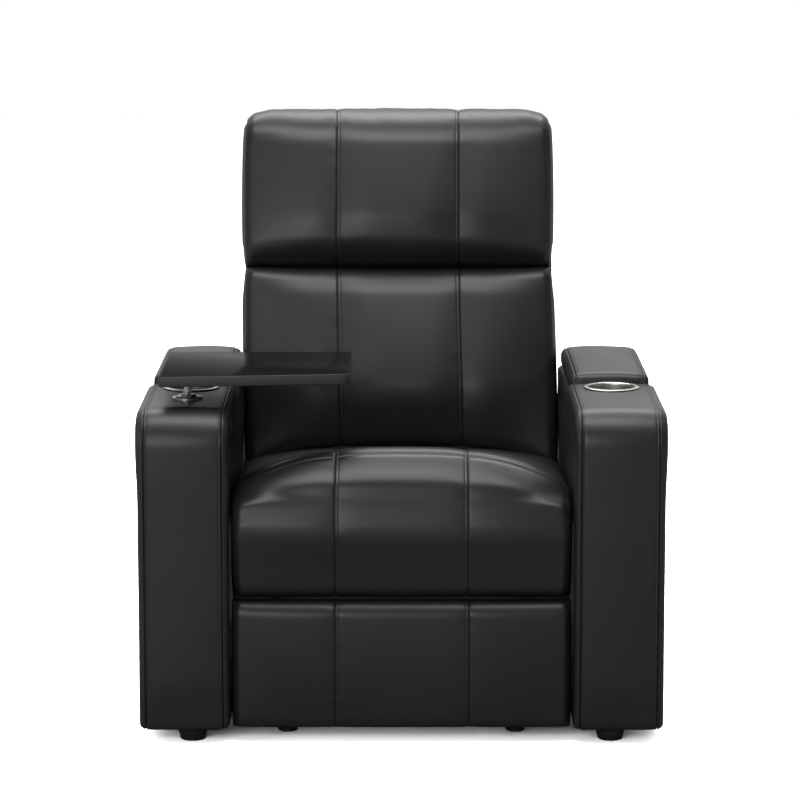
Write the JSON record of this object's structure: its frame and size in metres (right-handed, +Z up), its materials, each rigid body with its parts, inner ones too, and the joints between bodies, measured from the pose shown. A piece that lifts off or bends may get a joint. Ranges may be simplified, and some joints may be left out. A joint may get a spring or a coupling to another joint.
{
  "type": "power recliner",
  "caption": "Black leather home-theatre power recliner with storage arms, steel cup holders and a swivel tray; the footrest opens and the back reclines.",
  "frame": {"origin": "on the floor, below the middle of the chair", "axes": "+X to the viewer's right seen from the front, -Y out of the chair's front, +Z up"},
  "size_m": [0.94, 0.95, 1.0995],
  "materials": {
    "leather": "satin",
    "cover": "satin",
    "steel": "satin",
    "painted": "satin",
    "zinc": "satin",
    "plywood": "matte",
    "plastic": "satin",
    "tray": "gloss"
  },
  "bodies": {
    "base": {"base_rail_left": "painted", "base_rail_right": "painted", "base_front_tube": "painted", "base_rear_tube": "painted", "glide_front_left": "plastic", "glide_front_right": "plastic", "glide_rear_left": "plastic", "glide_rear_right": "plastic", "arm_left": "leather", "arm_right": "leather", "arm_foot_front_left": "plastic", "arm_foot_front_right": "plastic", "arm_foot_rear_left": "plastic", "arm_foot_rear_right": "plastic", "cup_holder_left": "steel", "cup_holder_right": "steel", "lid_hinge_left": "zinc", "lid_hinge_right": "zinc", "tray_socket": "steel", "switch_bezel": "plastic"},
    "lid_left": {"lid_left": "leather"},
    "lid_right": {"lid_right": "leather"},
    "tray": {"tray_top": "tray", "tray_post": "steel"},
    "button_open": {"button_open": "plastic"},
    "button_close": {"button_close": "plastic"},
    "front_swing": {"front_swing_link_left": "painted", "front_swing_link_right": "painted"},
    "rear_swing": {"rear_swing_link_left": "painted", "rear_swing_link_right": "painted"},
    "carriage": {"seat_cushion": "leather", "seat_plate_left": "painted", "seat_plate_right": "painted", "seat_cross_tube": "painted", "seat_front_rail": "plywood", "seat_rear_rail": "plywood", "seat_spring_left": "zinc", "seat_spring_middle": "zinc", "seat_spring_right": "zinc", "actuator": "plastic"},
    "drive_nut": {"drive_nut": "plastic"},
    "legrest_drive": {"torque_tube": "painted", "main_link_left": "painted", "main_link_right": "painted"},
    "rear_links": {"rear_link_left": "painted", "rear_link_right": "painted"},
    "carriers": {"carrier_link_left": "painted", "carrier_link_right": "painted"},
    "ties": {"tie_link_left": "painted", "tie_link_right": "painted"},
    "footrest": {"footrest_pad": "leather", "footrest_board": "plywood", "footrest_bracket_left": "painted", "footrest_bracket_right": "painted"},
    "back": {"back_frame": "plywood", "back_panel": "cover", "lumbar_cushion": "leather", "head_cushion": "leather", "back_bracket_left": "painted", "back_bracket_right": "painted"}
  },
  "joints": [
    {"name": "recline", "type": "hinge", "parent": "base", "child": "front_swing", "pos_m": [0, -0.2, 0.064], "axis": [1, 0, 0], "range_deg": [0, 50]},
    {"name": "rear_swing_turn", "type": "hinge", "parent": "base", "child": "rear_swing", "pos_m": [0, 0.1, 0.064], "axis": [1, 0, 0], "range_deg": [0, 50]},
    {"name": "carriage_level", "type": "hinge", "parent": "front_swing", "child": "carriage", "pos_m": [0, -0.1514, 0.16823], "axis": [-1, 0, 0], "range_deg": [0, 50]},
    {"name": "back_lean", "type": "hinge", "parent": "carriage", "child": "back", "pos_m": [0, 0.19, 0.33], "axis": [-1, 0, 0], "range_deg": [0, 32]},
    {"name": "legrest", "type": "hinge", "parent": "carriage", "child": "legrest_drive", "pos_m": [0, -0.3, 0.29], "axis": [-1, 0, 0], "range_deg": [0, 95]},
    {"name": "rear_link_turn", "type": "hinge", "parent": "carriage", "child": "rear_links", "pos_m": [0, -0.24833, 0.25574], "axis": [-1, 0, 0], "range_deg": [0, 95]},
    {"name": "carrier_turn", "type": "hinge", "parent": "legrest_drive", "child": "carriers", "pos_m": [0, -0.18342, 0.10343], "axis": [1, 0, 0], "range_deg": [0, 95]},
    {"name": "tie_turn", "type": "hinge", "parent": "legrest_drive", "child": "ties", "pos_m": [0, -0.1924, 0.13829], "axis": [1, 0, 0], "range_deg": [0, 95]},
    {"name": "footrest_turn", "type": "hinge", "parent": "carriers", "child": "footrest", "pos_m": [0, -0.3517, 0.215], "axis": [-1, 0, 0], "range_deg": [0, 95]},
    {"name": "drive_travel", "type": "slide", "parent": "carriage", "child": "drive_nut", "axis": [0, -1, 0], "range_m": [0, 0.0812]},
    {"name": "lid_left_hinge", "type": "hinge", "parent": "base", "child": "lid_left", "pos_m": [-0.39, 0.2553, 0.5853], "axis": [-1, 0, 0], "range_deg": [0, 95]},
    {"name": "lid_right_hinge", "type": "hinge", "parent": "base", "child": "lid_right", "pos_m": [0.39, 0.2553, 0.5853], "axis": [-1, 0, 0], "range_deg": [0, 95]},
    {"name": "tray_swivel", "type": "hinge", "parent": "base", "child": "tray", "pos_m": [-0.39, -0.302, 0.6453], "axis": [0, 0, 1], "range_deg": [-180, 85]},
    {"name": "open_press", "type": "slide", "parent": "base", "child": "button_open", "axis": [-1, 0, 0], "range_m": [0, 0.0015], "stiffness_N_per_m": 300},
    {"name": "close_press", "type": "slide", "parent": "base", "child": "button_close", "axis": [-1, 0, 0], "range_m": [0, 0.0015], "stiffness_N_per_m": 300}
  ],
  "couplings": [
    {"joint": "rear_swing_turn", "follows": "recline", "ratio": 1},
    {"joint": "carriage_level", "follows": "recline", "ratio": 1},
    {"joint": "back_lean", "follows": "recline", "ratio": 0.64},
    {"joint": "rear_link_turn", "follows": "legrest", "ratio": 1},
    {"joint": "carrier_turn", "follows": "legrest", "ratio": 1},
    {"joint": "tie_turn", "follows": "legrest", "ratio": 1},
    {"joint": "footrest_turn", "follows": "legrest", "ratio": 1},
    {"joint": "drive_travel", "follows": "legrest", "m_per_rad": 0.048913}
  ]
}
